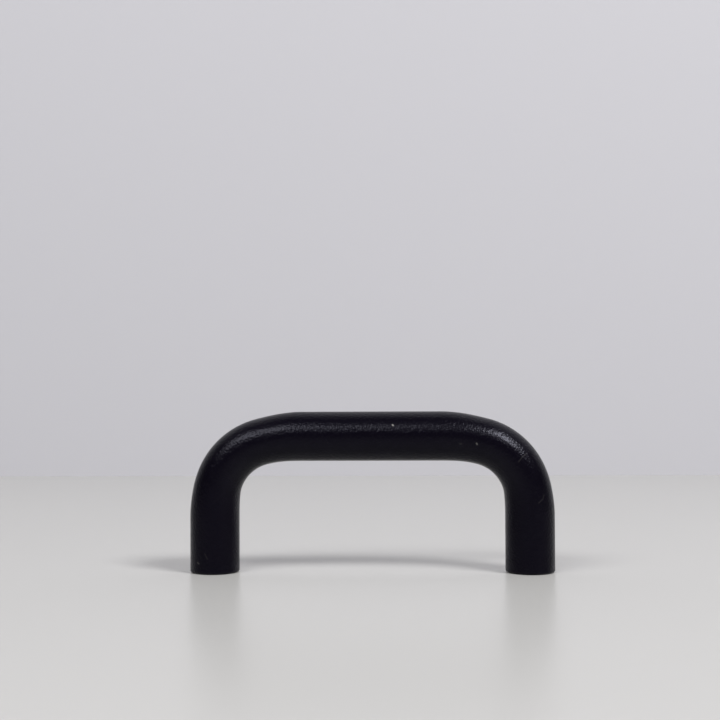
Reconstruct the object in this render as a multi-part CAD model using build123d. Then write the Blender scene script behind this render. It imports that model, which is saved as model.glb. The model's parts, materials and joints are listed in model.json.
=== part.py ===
from build123d import *
import os
from math import radians, sin, tan

# A U-shaped cabinet pull: one round bar, bent twice, with a tapped hole up each foot.
# The feet stand on the plane Z = 0, the grip runs along X and the pull projects along +Z.

# Driving dimensions, in millimetres and degrees
HOLE_SPACING = 64.0          # between the two screw holes, centre to centre
BAR_DIAMETER = 10.0          # round bar, also the diameter of each foot
PROJECTION = 32.5            # from the mounting face to the outside of the grip
BEND_RADIUS = 12.3           # tight middle of each bend, on the bar's centreline
EASE_RADIUS = 33.0           # gentle arcs that lead into and out of each bend
LEG_EASE_ANGLE = 9.0         # turned by the gentle arc next to the leg
GRIP_EASE_ANGLE = 15.0       # turned by the gentle arc next to the grip
FOOT_EDGE_RADIUS = 0.5       # rounded rim of each foot
SCREW_HOLE_DIAMETER = 3.3    # tapping drill for an M4 thread
SCREW_HOLE_DEPTH = 10.0      # full diameter, from the mounting face
DRILL_POINT_ANGLE = 118.0    # cone left by the drill at the end of the hole
COUNTERSINK_DEPTH = 0.55     # bevelled mouth of the hole
COUNTERSINK_ANGLE = 90.0     # across the bevel

NODE = "pull_bar"

# Places that follow from them: the leg's axis, the grip's axis and the height that a bend takes up
LEG_X = HOLE_SPACING / 2
GRIP_Z = PROJECTION - BAR_DIAMETER / 2
TIGHT_ANGLE = 90 - LEG_EASE_ANGLE - GRIP_EASE_ANGLE
LEG_SINE = sin(radians(LEG_EASE_ANGLE))
GRIP_SINE = sin(radians(LEG_EASE_ANGLE + TIGHT_ANGLE))
BEND_RISE = EASE_RADIUS * (LEG_SINE + 1 - GRIP_SINE) + BEND_RADIUS * (GRIP_SINE - LEG_SINE)


def centreline():
    """The bar's centreline from foot to foot: straight runs joined by tangent arcs."""
    with BuildLine(Plane.XZ) as line:
        leg = Line((-LEG_X, 0), (-LEG_X, GRIP_Z - BEND_RISE))
        off_leg = JernArc(leg @ 1, leg % 1, EASE_RADIUS, -LEG_EASE_ANGLE)
        tight = JernArc(off_leg @ 1, off_leg % 1, BEND_RADIUS, -TIGHT_ANGLE)
        on_grip = JernArc(tight @ 1, tight % 1, EASE_RADIUS, -GRIP_EASE_ANGLE)
        Line(on_grip @ 1, (0, GRIP_Z))
        mirror(about=Plane.YZ)
    return line.wire()


def bent_bar():
    """The bar with the rim of each foot rounded."""
    bar = sweep(Pos(-LEG_X, 0, 0) * Circle(BAR_DIAMETER / 2), path=centreline())
    foot_rims = bar.edges().group_by(Axis.Z)[0]
    return fillet(foot_rims, FOOT_EDGE_RADIUS)


def screw_holes():
    """The space of both holes: bevelled mouth, tapping bore and drill point."""
    bore = SCREW_HOLE_DIAMETER / 2
    mouth = bore + COUNTERSINK_DEPTH * tan(radians(COUNTERSINK_ANGLE / 2))
    point = bore / tan(radians(DRILL_POINT_ANGLE / 2))
    outline = Polyline(
        (0, 0),
        (mouth, 0),
        (bore, COUNTERSINK_DEPTH),
        (bore, SCREW_HOLE_DEPTH),
        (0, SCREW_HOLE_DEPTH + point),
        close=True,
    )
    hole = revolve(Plane.XZ * make_face(outline), Axis.Z)
    return [Pos(x, 0, 0) * hole for x in (-LEG_X, LEG_X)]


pull = bent_bar() - screw_holes()

os.makedirs("parts", exist_ok=True)
export_step(pull, f"parts/{NODE}.step")
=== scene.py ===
"""Looks of a U-shaped cabinet pull: one bent round bar in matte black powder coat, standing on its two feet.

The bar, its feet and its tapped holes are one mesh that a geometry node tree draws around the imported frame.
"""

import json
import logging
from dataclasses import dataclass
from enum import Enum
from math import cos, pi, radians, sin, tan

import bmesh
import bpy
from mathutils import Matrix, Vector


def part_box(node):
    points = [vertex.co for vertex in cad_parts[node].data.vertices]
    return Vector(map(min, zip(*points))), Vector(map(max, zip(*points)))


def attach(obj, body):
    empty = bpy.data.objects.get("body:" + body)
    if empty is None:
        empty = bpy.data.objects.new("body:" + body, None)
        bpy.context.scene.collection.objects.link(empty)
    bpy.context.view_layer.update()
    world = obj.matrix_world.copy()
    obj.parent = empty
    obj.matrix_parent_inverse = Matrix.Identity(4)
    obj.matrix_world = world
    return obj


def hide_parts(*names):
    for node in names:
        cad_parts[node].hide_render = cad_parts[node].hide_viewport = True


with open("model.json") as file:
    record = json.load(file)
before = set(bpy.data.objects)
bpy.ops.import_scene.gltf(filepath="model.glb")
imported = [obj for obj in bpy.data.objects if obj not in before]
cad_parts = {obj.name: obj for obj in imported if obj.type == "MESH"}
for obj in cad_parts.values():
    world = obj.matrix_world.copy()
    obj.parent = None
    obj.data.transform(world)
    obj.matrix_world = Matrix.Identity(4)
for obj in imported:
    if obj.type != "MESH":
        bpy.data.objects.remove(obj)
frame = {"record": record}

logging.basicConfig(level=logging.INFO, format="%(name)s: %(message)s")
LOG = logging.getLogger("pull")

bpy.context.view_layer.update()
MM = 0.001


def linear(colour: str) -> tuple[float, float, float, float]:
    """Turn an sRGB colour into linear values.

    Args:
        colour: Six hex digits.

    Returns:
        Linear red, green and blue, and an alpha of 1.
    """
    parts = [int(colour[i:i + 2], 16) / 255 for i in (0, 2, 4)]
    red, green, blue = (p / 12.92 if p <= 0.04045 else ((p + 0.055) / 1.055) ** 2.4 for p in parts)
    return red, green, blue, 1.0


def add(
    tree: bpy.types.NodeTree, kind: str, inputs: dict | None = None, **settings: object
) -> bpy.types.Node:
    """Add a node, set its options, then fill or link its inputs.

    Args:
        tree: The tree that gets the node.
        kind: The node's type.
        inputs: By socket name or number: a value, a socket to link, or a node whose first output is linked.
        settings: The node's own options.

    Returns:
        The new node.
    """
    node = tree.nodes.new(kind)
    for option, value in settings.items():
        setattr(node, option, value)
    for key, value in (inputs or {}).items():
        if isinstance(value, bpy.types.Node):
            value = value.outputs[0]
        if isinstance(value, bpy.types.NodeSocket):
            tree.links.new(value, node.inputs[key])
        else:
            node.inputs[key].default_value = value
    return node


def new_material(name: str) -> tuple[bpy.types.Material, bpy.types.NodeTree]:
    """Make an empty node material.

    Args:
        name: The material's name.

    Returns:
        The material and its node tree.
    """
    material = bpy.data.materials.new(name)
    material.use_nodes = True
    material.node_tree.nodes.clear()
    return material, material.node_tree


class Kind(Enum):
    """Kinds of value that a node group takes or gives."""

    FLOAT = "NodeSocketFloat"
    INTEGER = "NodeSocketInt"
    VECTOR = "NodeSocketVector"
    GEOMETRY = "NodeSocketGeometry"
    MATERIAL = "NodeSocketMaterial"


def new_group(
    name: str, takes: dict[str, Kind], gives: dict[str, Kind]
) -> tuple[bpy.types.NodeTree, bpy.types.Node]:
    """Make a geometry node group with named sockets.

    Args:
        name: The group's name.
        takes: Its inputs, by name.
        gives: Its outputs, by name.

    Returns:
        The group and the node that holds its inputs.
    """
    group = bpy.data.node_groups.new(name, "GeometryNodeTree")
    for socket, kind in takes.items():
        group.interface.new_socket(socket, in_out="INPUT", socket_type=kind.value)
    for socket, kind in gives.items():
        group.interface.new_socket(socket, in_out="OUTPUT", socket_type=kind.value)
    return group, add(group, "NodeGroupInput")


@dataclass(frozen=True)
class Fluff:
    """A speck of dust or a short fibre that clings to the front of the bar.

    Its places along X and Z and its width are in millimetres.
    Its cover is the share of the coat that it hides.
    """

    path: tuple[tuple[float, float], ...]
    width: float
    cover: float


SPECKS_AND_FIBRES = (
    Fluff(((4.3, 29.9), (4.4, 29.8)), width=0.5, cover=0.4),
    Fluff(((21.0, 26.2), (21.1, 26.0)), width=0.55, cover=0.14),
    Fluff(((17.7, 26.1), (18.0, 26.1)), width=0.6, cover=0.025),
    Fluff(((-34.9, 2.4), (-34.7, 2.2)), width=0.6, cover=0.06),
    Fluff(((-33.4, 4.3), (-32.8, 3.2)), width=0.35, cover=0.02),
    Fluff(((-8.0, 23.9), (-7.4, 23.3)), width=0.35, cover=0.02),
    Fluff(((31.0, 24.1), (30.2, 23.6), (29.3, 22.5)), width=0.35, cover=0.03),
    Fluff(((34.4, 15.9), (34.1, 15.0), (33.2, 14.3)), width=0.35, cover=0.022),
)


@dataclass(frozen=True)
class PowderCoat:
    """Matte black powder coat with a fine grain.

    To the eye: nearly black, with soft, speckled, cool highlights. The real grain is a fifth of a millimetre
    or finer. It is drawn about twice as coarse, so that it shows.
    """

    colour: str = "04020A"
    roughness: float = 0.28
    specular: float = 0.145
    highlight: str = "ECECFF"
    grain_mm: float = 0.42
    grain_height_mm: float = 0.08
    grain_detail: float = 1.0
    dust_colour: str = "C9C6C0"
    dust_roughness: float = 0.9
    dust: tuple[Fluff, ...] = SPECKS_AND_FIBRES

    def material(self) -> bpy.types.Material:
        """Build the coat's material.

        Returns:
            A material that works on Object coordinates.
        """
        material, tree = new_material("black_powder_coat_fine_matte")
        place = add(tree, "ShaderNodeTexCoord").outputs["Object"]
        grain = add(tree, "ShaderNodeTexNoise", {
            "Vector": place, "Scale": 1 / (self.grain_mm * MM), "Detail": self.grain_detail})
        bump = add(tree, "ShaderNodeBump", {
            "Strength": 1.0, "Distance": self.grain_height_mm * MM, "Height": grain.outputs["Fac"]})
        cover = self.dust_cover(tree, place)
        colour = add(tree, "ShaderNodeMixRGB", {
            "Fac": cover, "Color1": linear(self.colour), "Color2": linear(self.dust_colour)})
        roughness = add(tree, "ShaderNodeMapRange", {
            "Value": cover, "To Min": self.roughness, "To Max": self.dust_roughness})
        coat = add(tree, "ShaderNodeBsdfPrincipled", {
            "Base Color": colour, "Roughness": roughness, "Specular IOR Level": self.specular,
            "Specular Tint": linear(self.highlight), "Normal": bump.outputs["Normal"]})
        add(tree, "ShaderNodeOutputMaterial", {"Surface": coat})
        return material

    def dust_cover(self, tree: bpy.types.NodeTree, place: bpy.types.NodeSocket) -> bpy.types.Node:
        """Work out how far dust hides the coat.

        Args:
            tree: The coat's node tree.
            place: The place on the coat.

        Returns:
            A node that gives the cover, from 0 to 1.
        """
        spot = add(tree, "ShaderNodeSeparateXYZ", {0: place}).outputs
        seen = add(tree, "ShaderNodeCombineXYZ", {"X": spot["X"], "Z": spot["Z"]})
        cover = 0.0
        for fluff in self.dust:
            points = [Vector((x, 0.0, z)) * MM for x, z in fluff.path]
            for start, end in zip(points, points[1:]):
                way = end - start
                per_length = way / way.length_squared
                past = add(tree, "ShaderNodeVectorMath", {0: seen, 1: start}, operation="SUBTRACT")
                along = add(tree, "ShaderNodeVectorMath", {0: past, 1: per_length}, operation="DOT_PRODUCT")
                share = add(tree, "ShaderNodeClamp", {"Value": along.outputs["Value"]})
                nearest = add(tree, "ShaderNodeVectorMath", {0: way, "Scale": share}, operation="SCALE")
                aside = add(tree, "ShaderNodeVectorMath", {0: past, 1: nearest}, operation="DISTANCE")
                shade = add(tree, "ShaderNodeMapRange", {
                    "Value": aside.outputs["Value"], "From Min": fluff.width / 2 * MM, "From Max": 0.0,
                    "To Max": fluff.cover}, interpolation_type="SMOOTHSTEP")
                cover = add(tree, "ShaderNodeMath", {0: cover, 1: shade}, operation="MAXIMUM")
        in_front = add(tree, "ShaderNodeMath", {0: spot["Y"], 1: 0.0}, operation="LESS_THAN")
        return add(tree, "ShaderNodeMath", {0: cover, 1: in_front}, operation="MULTIPLY")


@dataclass(frozen=True)
class TappedSteel:
    """Bare mild steel, cut by a tap. To the eye: dull grey metal in the holes, unevenly shiny."""

    colour: str = "93908B"
    roughness: float = 0.4
    unevenness: float = 0.12
    patch_mm: float = 0.3

    def material(self) -> bpy.types.Material:
        """Build the steel's material.

        Returns:
            A material that works on Object coordinates.
        """
        material, tree = new_material("bare_steel_tapped")
        place = add(tree, "ShaderNodeTexCoord").outputs["Object"]
        patches = add(tree, "ShaderNodeTexNoise", {"Vector": place, "Scale": 1 / (self.patch_mm * MM)})
        shine = add(tree, "ShaderNodeMapRange", {
            "Value": patches.outputs["Fac"], "To Min": self.roughness - self.unevenness,
            "To Max": self.roughness + self.unevenness})
        steel = add(tree, "ShaderNodeBsdfPrincipled", {
            "Base Color": linear(self.colour), "Metallic": 1.0, "Roughness": shine})
        add(tree, "ShaderNodeOutputMaterial", {"Surface": steel})
        return material


@dataclass(frozen=True)
class PaleBoard:
    """Pale painted board. To the eye: an even pale grey, with a faint mirror image where it is satin."""

    name: str
    colour: str
    roughness: float
    specular: float = 0.5

    def material(self) -> bpy.types.Material:
        """Build the board's material.

        Returns:
            A plain material of one colour.
        """
        material, tree = new_material(self.name)
        board = add(tree, "ShaderNodeBsdfPrincipled", {
            "Base Color": linear(self.colour), "Roughness": self.roughness,
            "Specular IOR Level": self.specular})
        add(tree, "ShaderNodeOutputMaterial", {"Surface": board})
        return material


@dataclass(frozen=True)
class TappedFoot:
    """One foot of the bar with the tapped hole up its middle. Sizes in millimetres and degrees.

    The thread's crest, root, depth and fades are shares of its pitch. The first three are those of a metric
    inside thread: half the width of the flat crest, the place where the flat root starts, and the depth of
    the groove.
    """

    bar_diameter: float
    bore_radius: float
    hole_depth: float
    rim_radius: float = 0.5
    countersink: float = 0.55
    drill_point: float = 118.0
    thread_pitch: float = 0.7
    thread_crest: float = 0.125
    thread_root: float = 0.4375
    thread_depth: float = 0.541
    fade_in: float = 0.5
    fade_out: float = 1.0
    rows_per_pitch: int = 10
    rim_rows: int = 8

    @property
    def mouth_radius(self) -> float:
        """Radius of the hole where it is widest, at the mounting face."""
        return self.bore_radius + self.countersink

    @property
    def thread_end(self) -> float:
        """Height at which the thread has run out, one pitch short of the bore's end."""
        return self.hole_depth - self.thread_pitch

    def outline(self) -> list[tuple[float, float]]:
        """Draw half of the foot's section, from the drill point to the top of the rounded rim.

        Returns:
            Radius and height of each point.
        """
        tip = self.hole_depth + self.bore_radius / tan(radians(self.drill_point / 2))
        wall = self.hole_depth - self.countersink
        steps = round(wall / self.thread_pitch * self.rows_per_pitch)
        bore = [(self.bore_radius, self.hole_depth - wall * i / steps) for i in range(steps + 1)]
        edge = self.bar_diameter / 2 - self.rim_radius
        turns = [pi / 2 * i / self.rim_rows for i in range(self.rim_rows + 1)]
        rim = [(edge + self.rim_radius * sin(t), self.rim_radius * (1 - cos(t))) for t in turns]
        return [(0.0, tip), *bore, (self.mouth_radius, 0.0), *rim]


@dataclass
class BentBar:
    """The pull's one piece: a round bar bent twice. Sizes in millimetres and degrees.

    The flattening is the share of its thickness that the bar loses in the plane of each bend. The ramp is the
    share of the bend's length over which that comes and goes.
    """

    hole_spacing: float
    bar_diameter: float
    projection: float
    foot: TappedFoot
    bend_radius: float = 12.3
    ease_radius: float = 33.0
    leg_ease: float = 9.0
    grip_ease: float = 15.0
    flattening: float = 0.049
    flattening_ramp: float = 0.3
    around: int = 128
    row_spacing: float = 0.35
    weld_distance: float = 0.001
    crisp_fold: float = 30.0

    @property
    def bend(self) -> float:
        """Angle that the tight middle of a bend turns through."""
        return 90 - self.leg_ease - self.grip_ease

    @property
    def bend_size(self) -> tuple[float, float]:
        """Reach along the grip and rise along the leg of one whole bend."""
        first, second = radians(self.leg_ease), radians(self.leg_ease + self.bend)
        tight_reach, tight_rise = cos(first) - cos(second), sin(second) - sin(first)
        reach = self.ease_radius * (1 - tight_reach) + self.bend_radius * tight_reach
        rise = self.ease_radius * (1 - tight_rise) + self.bend_radius * tight_rise
        return reach, rise

    @property
    def leg_length(self) -> float:
        """Straight part of a leg, from the mounting face."""
        return self.projection - self.bar_diameter / 2 - self.bend_size[1]

    @property
    def grip_length(self) -> float:
        """Straight part of the grip, from its middle."""
        return self.hole_spacing / 2 - self.bend_size[0]

    @property
    def bend_length(self) -> float:
        """Length of one whole bend along the centreline."""
        eased = radians(self.leg_ease + self.grip_ease)
        return self.ease_radius * eased + self.bend_radius * radians(self.bend)

    @property
    def half_length(self) -> float:
        """Length of the centreline from a foot to the middle of the grip."""
        return self.leg_length + self.bend_length + self.grip_length

    def sizes(self) -> dict[str, float | int]:
        """List the bar's sizes under the names that its node tree takes.

        Returns:
            Lengths in metres, angles in radians, shares and counts.
        """
        foot = self.foot
        pitch = foot.thread_pitch
        return {
            "Hole Spacing": self.hole_spacing * MM,
            "Bar Radius": self.bar_diameter / 2 * MM,
            "Leg Length": self.leg_length * MM,
            "Bend Length": self.bend_length * MM,
            "Half Length": self.half_length * MM,
            "Rim Radius": foot.rim_radius * MM,
            "Ease Radius": self.ease_radius * MM,
            "Leg Ease": radians(self.leg_ease),
            "Bend Radius": self.bend_radius * MM,
            "Bend Angle": radians(self.bend),
            "Grip Ease": radians(self.grip_ease),
            "Flattening": self.flattening,
            "Flattening Ramp": self.flattening_ramp,
            "Mouth Radius": foot.mouth_radius * MM,
            "Thread Pitch": pitch * MM,
            "Thread Crest": foot.thread_crest,
            "Thread Root": foot.thread_root,
            "Thread Depth": foot.thread_depth * pitch * MM,
            "Thread Start": foot.countersink * MM,
            "Full From": (foot.countersink + foot.fade_in * pitch) * MM,
            "Full To": (foot.thread_end - foot.fade_out * pitch) * MM,
            "Thread End": foot.thread_end * MM,
            "Weld Distance": self.weld_distance * MM,
            "Crisp Fold": radians(self.crisp_fold),
            "Around": self.around,
            "Rows": 2 * round(self.half_length / self.row_spacing) + 1,
            "Outline Points": len(foot.outline()),
        }

    def build(self, finish: PowderCoat, hole_finish: TappedSteel) -> bpy.types.Object:
        """Draw the bar as a plain mesh.

        Args:
            finish: The coat on it.
            hole_finish: What shows inside its screw holes.

        Returns:
            The finished piece, at the origin.
        """
        base = bpy.data.meshes.new("foot_outline")
        base.from_pydata([(r * MM, 0.0, z * MM) for r, z in self.foot.outline()], [], [])
        drawing = bpy.data.objects.new("bar_drawing", base)
        bpy.context.scene.collection.objects.link(drawing)
        values = {**self.sizes(), "Finish": finish.material(), "Hole Finish": hole_finish.material()}
        tree = BarTree().tree
        modifier = drawing.modifiers.new("bar", "NODES")
        modifier.node_group = tree
        for item in tree.interface.items_tree:
            if item.name in values:
                modifier[item.identifier] = values[item.name]
        evaluated = drawing.evaluated_get(bpy.context.evaluated_depsgraph_get())
        mesh = bpy.data.meshes.new_from_object(evaluated)
        bpy.data.objects.remove(drawing)
        mesh.name = "pull_bar_coated"
        face_outwards(mesh)
        piece = bpy.data.objects.new(mesh.name, mesh)
        bpy.context.scene.collection.objects.link(piece)
        LOG.info("%s: %d faces", piece.name, len(mesh.polygons))
        return piece


def face_outwards(mesh: bpy.types.Mesh) -> None:
    """Turn every face of a closed mesh outwards.

    Args:
        mesh: The mesh, changed in place.
    """
    work = bmesh.new()
    work.from_mesh(mesh)
    bmesh.ops.recalc_face_normals(work, faces=work.faces)
    work.to_mesh(mesh)
    work.free()


def arc_group() -> bpy.types.NodeTree:
    """Make the node group for one arc of a centreline that starts upwards and turns towards +X.

    Returns:
        A group that gives the step made on the arc at a run along the line, the angle turned on it so far,
        and the run and heading at the arc's end.
    """
    takes = dict.fromkeys(("Run", "Start", "Heading", "Radius", "Turn"), Kind.FLOAT)
    gives = {"Step": Kind.VECTOR, "Turned": Kind.FLOAT, "End": Kind.FLOAT, "Heading": Kind.FLOAT}
    group, given = new_group("centreline_arc", takes, gives)
    size = given.outputs
    past = add(group, "ShaderNodeMath", {0: size["Run"], 1: size["Start"]}, operation="SUBTRACT")
    angle = add(group, "ShaderNodeMath", {0: past, 1: size["Radius"]}, operation="DIVIDE")
    turned = add(group, "ShaderNodeClamp", {"Value": angle, "Min": 0.0, "Max": size["Turn"]})
    now = add(group, "ShaderNodeMath", {0: size["Heading"], 1: turned}, operation="ADD")
    corners = []
    for heading in (size["Heading"], now):
        across = add(group, "ShaderNodeMath", {0: heading}, operation="COSINE")
        sine = add(group, "ShaderNodeMath", {0: heading}, operation="SINE")
        down = add(group, "ShaderNodeMath", {0: sine, 1: -1.0}, operation="MULTIPLY")
        corners.append(add(group, "ShaderNodeCombineXYZ", {"X": across, "Z": down}))
    chord = add(group, "ShaderNodeVectorMath", {0: corners[0], 1: corners[1]}, operation="SUBTRACT")
    step = add(group, "ShaderNodeVectorMath", {0: chord, "Scale": size["Radius"]}, operation="SCALE")
    length = add(group, "ShaderNodeMath", {0: size["Radius"], 1: size["Turn"]}, operation="MULTIPLY")
    end = add(group, "ShaderNodeMath", {0: size["Start"], 1: length}, operation="ADD")
    heading = add(group, "ShaderNodeMath", {0: size["Heading"], 1: size["Turn"]}, operation="ADD")
    add(group, "NodeGroupOutput", {"Step": step, "Turned": turned, "End": end, "Heading": heading})
    return group


class BarTree:
    """The node tree that draws the bar: a skin rolled round its bent centreline, closed by two tapped feet.

    Its input geometry is the outline of one foot. Its other inputs are the bar's sizes and finishes.
    """

    LENGTHS_ANGLES_SHARES = (
        "Hole Spacing", "Bar Radius", "Leg Length", "Bend Length", "Half Length", "Rim Radius", "Ease Radius",
        "Leg Ease", "Bend Radius", "Bend Angle", "Grip Ease", "Flattening", "Flattening Ramp", "Mouth Radius",
        "Thread Pitch", "Thread Crest", "Thread Root", "Thread Depth", "Thread Start", "Full From", "Full To",
        "Thread End", "Weld Distance", "Crisp Fold")
    COUNTS = ("Around", "Rows", "Outline Points")
    FINISHES = ("Finish", "Hole Finish")
    BEND_ARCS = (("Ease Radius", "Leg Ease"), ("Bend Radius", "Bend Angle"), ("Ease Radius", "Grip Ease"))

    def __init__(self) -> None:
        """Make the whole tree."""
        takes = {"Outline": Kind.GEOMETRY}
        takes |= dict.fromkeys(self.LENGTHS_ANGLES_SHARES, Kind.FLOAT)
        takes |= dict.fromkeys(self.COUNTS, Kind.INTEGER)
        takes |= dict.fromkeys(self.FINISHES, Kind.MATERIAL)
        self.tree, given = new_group("bent_bar", takes, {"Bar": Kind.GEOMETRY})
        self.size = given.outputs
        spacing = self.size["Hole Spacing"]
        self.leg_x = add(self.tree, "ShaderNodeMath", {0: spacing, 1: -0.5}, operation="MULTIPLY")
        add(self.tree, "NodeGroupOutput", {"Bar": self.dressed(self.closed())})

    def sheet_place(self) -> tuple[bpy.types.NodeSocket, bpy.types.NodeSocket, bpy.types.Node]:
        """Read the place on a flat sheet, whose own X runs along the piece and whose own Y runs round it.

        Returns:
            The place along the piece and the share of a turn round it, both from -0.5 to 0.5, and that turn
            as an angle.
        """
        position = add(self.tree, "GeometryNodeInputPosition")
        place = add(self.tree, "ShaderNodeSeparateXYZ", {0: position}).outputs
        angle = add(self.tree, "ShaderNodeMath", {0: place["Y"], 1: 2 * pi}, operation="MULTIPLY")
        return place["X"], place["Y"], angle

    def shaped_sheet(self, rows: bpy.types.NodeSocket, place: bpy.types.Node) -> bpy.types.Node:
        """Make a flat sheet and bring it into shape.

        Args:
            rows: How many rows of points it has along the piece.
            place: Where each of its points goes.

        Returns:
            The shaped sheet.
        """
        columns = add(self.tree, "ShaderNodeMath", {0: self.size["Around"], 1: 1.0}, operation="ADD")
        flat = add(self.tree, "GeometryNodeMeshGrid", {
            "Size X": 1.0, "Size Y": 1.0, "Vertices X": rows, "Vertices Y": columns})
        return add(self.tree, "GeometryNodeSetPosition", {"Geometry": flat, "Position": place})

    def centreline(self, run: bpy.types.Node) -> tuple[bpy.types.Node, bpy.types.Node]:
        """Follow the left half of the bent centreline.

        Args:
            run: The way gone along it, from the mounting face.

        Returns:
            The place on the line and the angle that it has turned so far.
        """
        tree, size = self.tree, self.size
        bend = arc_group()
        steps, start, heading, turned = [], size["Leg Length"], 0.0, 0.0
        for radius, turn in self.BEND_ARCS:
            arc = add(tree, "GeometryNodeGroup", {
                "Run": run, "Start": start, "Heading": heading, "Radius": size[radius], "Turn": size[turn]},
                node_tree=bend).outputs
            start, heading = arc["End"], arc["Heading"]
            turned = add(tree, "ShaderNodeMath", {0: turned, 1: arc["Turned"]}, operation="ADD")
            steps.append(arc["Step"])
        past_bend = add(tree, "ShaderNodeMath", {0: run, 1: start}, operation="SUBTRACT")
        on_grip = add(tree, "ShaderNodeMath", {0: past_bend, 1: 0.0}, operation="MAXIMUM")
        across = add(tree, "ShaderNodeMath", {0: self.leg_x, 1: on_grip}, operation="ADD")
        on_leg = add(tree, "ShaderNodeMath", {0: run, 1: size["Leg Length"]}, operation="MINIMUM")
        place = add(tree, "ShaderNodeCombineXYZ", {"X": across, "Z": on_leg})
        for step in steps:
            place = add(tree, "ShaderNodeVectorMath", {0: place, 1: step}, operation="ADD")
        return place, turned

    def bent_radius(self, run: bpy.types.Node) -> bpy.types.Node:
        """Work out the bar's radius in the plane of the bend, where bending has made it a little thinner.

        Args:
            run: The way gone along the centreline, from the mounting face.

        Returns:
            The radius.
        """
        tree, size = self.tree, self.size
        on_bend = add(tree, "ShaderNodeMath", {0: run, 1: size["Leg Length"]}, operation="SUBTRACT")
        share = add(tree, "ShaderNodeMath", {0: on_bend, 1: size["Bend Length"]}, operation="DIVIDE")
        rest = add(tree, "ShaderNodeMath", {0: 1.0, 1: share}, operation="SUBTRACT")
        squeeze = size["Flattening"]
        for way in (share, rest):
            ramp = add(tree, "ShaderNodeMapRange", {"Value": way, "From Max": size["Flattening Ramp"]},
                       interpolation_type="SMOOTHSTEP")
            squeeze = add(tree, "ShaderNodeMath", {0: squeeze, 1: ramp}, operation="MULTIPLY")
        kept = add(tree, "ShaderNodeMath", {0: 1.0, 1: squeeze}, operation="SUBTRACT")
        return add(tree, "ShaderNodeMath", {0: size["Bar Radius"], 1: kept}, operation="MULTIPLY")

    def skin(self) -> bpy.types.Node:
        """Roll a sheet round the centreline, from the rim of one foot to the rim of the other.

        Returns:
            The skin, open at both ends.
        """
        tree, size = self.tree, self.size
        along, _, angle = self.sheet_place()
        outness = add(tree, "ShaderNodeMath", {0: along}, operation="ABSOLUTE")
        run = add(tree, "ShaderNodeMapRange", {
            "Value": outness, "From Min": 0.5, "From Max": 0.0,
            "To Min": size["Rim Radius"], "To Max": size["Half Length"]})
        centre, turned = self.centreline(run)

        # Out from the centreline: in the plane of the bend, then across it
        cosine = add(tree, "ShaderNodeMath", {0: angle}, operation="COSINE")
        sine = add(tree, "ShaderNodeMath", {0: angle}, operation="SINE")
        in_plane = add(tree, "ShaderNodeMath", {0: self.bent_radius(run), 1: cosine}, operation="MULTIPLY")
        off_plane = add(tree, "ShaderNodeMath", {0: size["Bar Radius"], 1: sine}, operation="MULTIPLY")
        up = add(tree, "ShaderNodeMath", {0: turned}, operation="SINE")
        level = add(tree, "ShaderNodeMath", {0: turned}, operation="COSINE")
        out = add(tree, "ShaderNodeMath", {0: level, 1: -1.0}, operation="MULTIPLY")
        heading = add(tree, "ShaderNodeCombineXYZ", {"X": out, "Z": up})
        outward = add(tree, "ShaderNodeVectorMath", {0: heading, "Scale": in_plane}, operation="SCALE")
        sideways = add(tree, "ShaderNodeCombineXYZ", {"Y": off_plane})
        ring = add(tree, "ShaderNodeVectorMath", {0: outward, 1: sideways}, operation="ADD")
        left = add(tree, "ShaderNodeVectorMath", {0: centre, 1: ring}, operation="ADD")

        # The right half mirrors the left
        side = add(tree, "ShaderNodeMath", {0: along}, operation="SIGN")
        inward = add(tree, "ShaderNodeMath", {0: side, 1: -1.0}, operation="MULTIPLY")
        mirrored = add(tree, "ShaderNodeCombineXYZ", {"X": inward, "Y": 1.0, "Z": 1.0})
        place = add(tree, "ShaderNodeVectorMath", {0: left, 1: mirrored}, operation="MULTIPLY")
        return self.shaped_sheet(size["Rows"], place)

    def thread_depth(self, point: bpy.types.Node, turn: bpy.types.NodeSocket) -> bpy.types.Node:
        """Work out how deep the thread cuts: a groove that climbs one pitch a turn and fades at its ends.

        Args:
            point: The place on the foot's outline.
            turn: The share of a turn round the hole.

        Returns:
            The depth.
        """
        tree, size = self.tree, self.size
        height = add(tree, "ShaderNodeSeparateXYZ", {0: point}).outputs["Z"]
        pitches = add(tree, "ShaderNodeMath", {0: height, 1: size["Thread Pitch"]}, operation="DIVIDE")
        phase = add(tree, "ShaderNodeMath", {0: pitches, 1: turn}, operation="SUBTRACT")
        wave = add(tree, "ShaderNodeMath", {0: phase, 1: 0.5}, operation="PINGPONG")
        groove = add(tree, "ShaderNodeMapRange", {
            "Value": wave, "From Min": size["Thread Crest"], "From Max": size["Thread Root"]})
        depth = add(tree, "ShaderNodeMath", {0: groove, 1: size["Thread Depth"]}, operation="MULTIPLY")
        for end, full in (("Thread Start", "Full From"), ("Thread End", "Full To")):
            faded = add(tree, "ShaderNodeMapRange", {
                "Value": height, "From Min": size[end], "From Max": size[full]},
                interpolation_type="SMOOTHSTEP")
            depth = add(tree, "ShaderNodeMath", {0: depth, 1: faded}, operation="MULTIPLY")
        return depth

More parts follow.
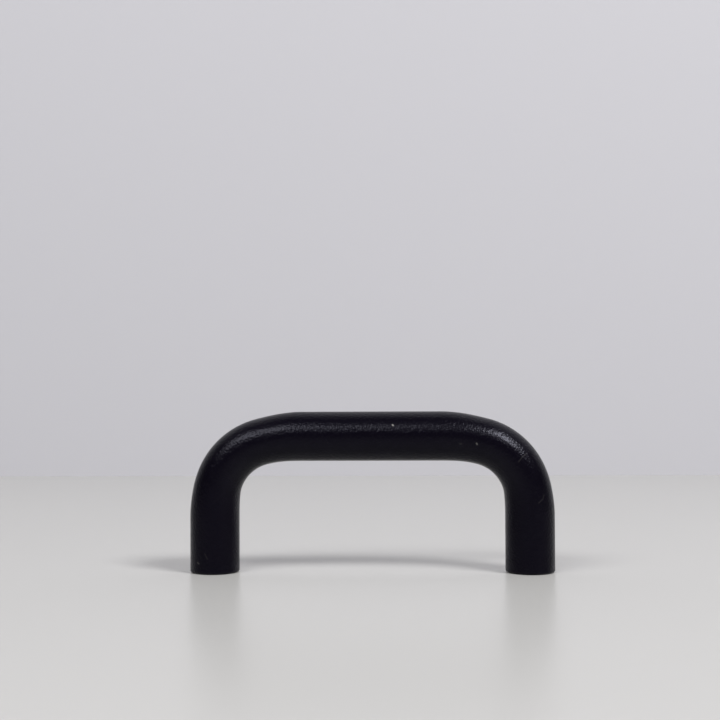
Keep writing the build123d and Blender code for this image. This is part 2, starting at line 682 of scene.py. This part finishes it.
    def feet(self) -> bpy.types.Node:
        """Turn the foot's outline round the hole's axis, cut the thread, and set a foot under each leg.

        Returns:
            Both feet, as instances.
        """
        tree, size = self.tree, self.size
        along, turn, angle = self.sheet_place()
        last = add(tree, "ShaderNodeMath", {0: size["Outline Points"], 1: 1.0}, operation="SUBTRACT")
        row = add(tree, "ShaderNodeMapRange", {
            "Value": along, "From Min": -0.5, "From Max": 0.5, "To Max": last})
        whole = add(tree, "FunctionNodeFloatToInt", {0: row}, rounding_mode="ROUND")
        point = add(tree, "GeometryNodeSampleIndex", {
            "Geometry": size["Outline"], "Value": add(tree, "GeometryNodeInputPosition"), "Index": whole},
            data_type="FLOAT_VECTOR", domain="POINT")
        deeper = add(tree, "ShaderNodeCombineXYZ", {"X": self.thread_depth(point, turn)})
        cut = add(tree, "ShaderNodeVectorMath", {0: point, 1: deeper}, operation="ADD")
        on_ring = add(tree, "ShaderNodeVectorRotate", {"Vector": cut, "Angle": angle}, rotation_type="Z_AXIS")
        foot = self.shaped_sheet(size["Outline Points"], on_ring)
        other_x = add(tree, "ShaderNodeMath", {0: self.leg_x, 1: -1.0}, operation="MULTIPLY")
        stations = add(tree, "GeometryNodeMeshLine", {
            "Count": 2, "Start Location": add(tree, "ShaderNodeCombineXYZ", {"X": self.leg_x}),
            "Offset": add(tree, "ShaderNodeCombineXYZ", {"X": other_x})}, mode="END_POINTS")
        return add(tree, "GeometryNodeInstanceOnPoints", {"Points": stations, "Instance": foot})

    def closed(self) -> bpy.types.Node:
        """Join the skin and the feet into one closed bar.

        Returns:
            The bar, welded along its seams.
        """
        joined = add(self.tree, "GeometryNodeJoinGeometry", {"Geometry": self.skin()})
        self.tree.links.new(self.feet().outputs[0], joined.inputs[0])
        real = add(self.tree, "GeometryNodeRealizeInstances", {"Geometry": joined})
        return add(self.tree, "GeometryNodeMergeByDistance", {
            "Geometry": real, "Distance": self.size["Weld Distance"]})

    def dressed(self, bar: bpy.types.Node) -> bpy.types.Node:
        """Shade the bar and coat it, but for the holes, which are plugged while it is coated and stay bare.

        Args:
            bar: The closed bar.

        Returns:
            The bar with its finishes.
        """
        tree, size = self.tree, self.size
        smooth = add(tree, "GeometryNodeSetShadeSmooth", {"Geometry": bar})
        fold = add(tree, "GeometryNodeInputMeshEdgeAngle").outputs["Unsigned Angle"]
        crisp = add(tree, "FunctionNodeCompare", {0: fold, 1: size["Crisp Fold"]}, operation="GREATER_THAN")
        shaded = add(tree, "GeometryNodeSetShadeSmooth", {
            "Geometry": smooth, "Selection": crisp, "Shade Smooth": False}, domain="EDGE")
        coated = add(tree, "GeometryNodeSetMaterial", {"Geometry": shaded, "Material": size["Finish"]})

        # A face is in a hole if it lies on a leg, nearer to the leg's axis than the mouth reaches
        spot = add(tree, "ShaderNodeSeparateXYZ", {0: add(tree, "GeometryNodeInputPosition")}).outputs
        off_middle = add(tree, "ShaderNodeMath", {0: spot["X"]}, operation="ABSOLUTE")
        off_leg = add(tree, "ShaderNodeMath", {0: off_middle, 1: self.leg_x}, operation="ADD")
        from_axis = add(tree, "ShaderNodeCombineXYZ", {"X": off_leg, "Y": spot["Y"]})
        radius = add(tree, "ShaderNodeVectorMath", {0: from_axis}, operation="LENGTH").outputs["Value"]
        near = add(tree, "FunctionNodeCompare", {0: radius, 1: size["Mouth Radius"]}, operation="LESS_THAN")
        low = add(tree, "FunctionNodeCompare", {0: spot["Z"], 1: size["Leg Length"]}, operation="LESS_THAN")
        in_hole = add(tree, "FunctionNodeBooleanMath", {0: near, 1: low}, operation="AND")
        return add(tree, "GeometryNodeSetMaterial", {
            "Geometry": coated, "Selection": in_hole, "Material": size["Hole Finish"]})


@dataclass(frozen=True)
class SoftBox:
    """A soft box. Sizes in metres, degrees and watts, the azimuth from the front towards the right."""

    name: str
    azimuth: float
    elevation: float
    width: float
    height: float
    power: float
    distance: float = 1.6
    aim: tuple[float, float, float] = (0.0, 0.0, 0.016)

    def build(self) -> bpy.types.Object:
        """Hang the lamp.

        Returns:
            The lamp, turned to its aim.
        """
        lamp = bpy.data.lights.new(self.name, "AREA")
        lamp.shape = "RECTANGLE"
        lamp.size = self.width
        lamp.size_y = self.height
        lamp.energy = self.power
        holder = bpy.data.objects.new(self.name, lamp)
        bpy.context.scene.collection.objects.link(holder)
        turn, lift = radians(self.azimuth), radians(self.elevation)
        away = Vector((sin(turn) * cos(lift), -cos(turn) * cos(lift), sin(lift)))
        holder.location = Vector(self.aim) + self.distance * away
        holder.rotation_euler = away.to_track_quat("Z", "Y").to_euler()
        holder.visible_camera = False
        LOG.info("lamp %s: %.1f W", self.name, self.power)
        return holder


@dataclass(frozen=True)
class Viewpoint:
    """The camera. Sizes in millimetres and degrees."""

    lens: float = 62.58
    sensor: float = 36.0
    nearest: float = 10.0
    place: tuple[float, float, float] = (5.457, -254.84, 37.907)
    rise: float = 1.143
    roll: float = 0.2275
    turn: float = 1.746

    def build(self) -> bpy.types.Object:
        """Set up the camera as the scene's own.

        Returns:
            The camera.
        """
        data = bpy.data.cameras.new("camera")
        data.lens = self.lens
        data.sensor_width = self.sensor
        data.clip_start = self.nearest * MM
        camera = bpy.data.objects.new("camera", data)
        bpy.context.scene.collection.objects.link(camera)
        camera.location = Vector(self.place) * MM
        camera.rotation_euler = (radians(90 + self.rise), radians(self.roll), radians(self.turn))
        bpy.context.scene.camera = camera
        return camera


def sheet(name: str, corners: list[tuple[float, float, float]], finish: PaleBoard) -> bpy.types.Object:
    """Make a flat four-cornered sheet.

    Args:
        name: The sheet's name.
        corners: Its corners in order, in metres.
        finish: What it is made of.

    Returns:
        The sheet.
    """
    mesh = bpy.data.meshes.new(name)
    mesh.from_pydata(corners, [], [(0, 1, 2, 3)])
    mesh.materials.append(finish.material())
    made = bpy.data.objects.new(name, mesh)
    bpy.context.scene.collection.objects.link(made)
    return made


@dataclass
class Studio:
    """A pale floor and backdrop, two soft boxes and dim surroundings. Sizes in metres."""

    reach: float = 1.1
    backdrop_y: float = 0.269
    backdrop_height: float = 1.6
    floor_finish: PaleBoard = PaleBoard("satin_board", "B7B6B4", roughness=0.29, specular=0.3)
    backdrop_finish: PaleBoard = PaleBoard("matt_board", "BDBCC1", roughness=0.8)
    surroundings: str = "CECDD1"
    canopy_radius: float = 5.0
    canopy_segments: int = 48
    canopy_glow: float = 0.1
    lamps: tuple[SoftBox, ...] = (
        SoftBox("soft_box_left", azimuth=-33.0, elevation=44.0, width=1.15, height=0.46, power=16.5),
        SoftBox("soft_box_right", azimuth=50.0, elevation=46.0, width=0.52, height=0.44, power=23.3),
    )

    def build(self) -> None:
        """Set the stage, the light, the world and the camera."""
        side, back, top = self.reach, self.backdrop_y, self.backdrop_height
        floor_corners = [(-side, -side, 0), (side, -side, 0), (side, back, 0), (-side, back, 0)]
        backdrop_corners = [(-side, back, 0), (side, back, 0), (side, back, top), (-side, back, top)]
        floor = sheet("floor", floor_corners, self.floor_finish)
        backdrop = sheet("backdrop", backdrop_corners, self.backdrop_finish)
        self.canopy()
        for lamp in self.lamps:
            lamp.build()
        bpy.context.scene.world = self.world()
        bpy.context.scene.view_settings.view_transform = "Standard"
        Viewpoint().build()

    def canopy(self) -> bpy.types.Object:
        """Make the dim canopy that keeps bright reflections off the front. The camera looks through it.

        Returns:
            A dome round the whole stage.
        """
        mesh = bpy.data.meshes.new("dim_canopy")
        work = bmesh.new()
        bmesh.ops.create_uvsphere(work, u_segments=self.canopy_segments, v_segments=self.canopy_segments // 2,
                                  radius=self.canopy_radius)
        work.to_mesh(mesh)
        work.free()
        material, tree = new_material("dim_cloth")
        glow = add(tree, "ShaderNodeEmission", {"Strength": self.canopy_glow})
        add(tree, "ShaderNodeOutputMaterial", {"Surface": glow})
        mesh.materials.append(material)
        dome = bpy.data.objects.new(mesh.name, mesh)
        bpy.context.scene.collection.objects.link(dome)
        dome.visible_camera = False
        return dome

    def world(self) -> bpy.types.World:
        """Make the pale world that the camera sees past the floor and the backdrop.

        Returns:
            The world.
        """
        world = bpy.data.worlds.new("pale_surroundings")
        world.use_nodes = True
        tree = world.node_tree
        tree.nodes.clear()
        pale = add(tree, "ShaderNodeBackground", {"Color": linear(self.surroundings), "Strength": 1.0})
        add(tree, "ShaderNodeOutputWorld", {"Surface": pale})
        return world


def pull_from_frame() -> BentBar:
    """Take the bar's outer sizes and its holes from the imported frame.

    Returns:
        The bar, ready to build.
    """
    low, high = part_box("pull_bar")
    mounts = {mount["name"]: mount for mount in frame["record"]["mounts"]}
    hole = mounts["screw_hole_left"]["dims"]
    diameter = (high.y - low.y) / MM
    foot = TappedFoot(diameter, hole["r_mm"], hole["length_mm"] + TappedFoot.countersink)
    spacing = mounts["screw_pattern"]["dims"]["spacing_x_mm"]
    return BentBar(spacing, diameter, (high.z - low.z) / MM, foot)


def main() -> None:
    """Build the pull and its stage."""
    piece = pull_from_frame().build(PowderCoat(), TappedSteel())
    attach(piece, "root")
    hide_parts("pull_bar")
    Studio().build()


if __name__ == "__main__":
    main()
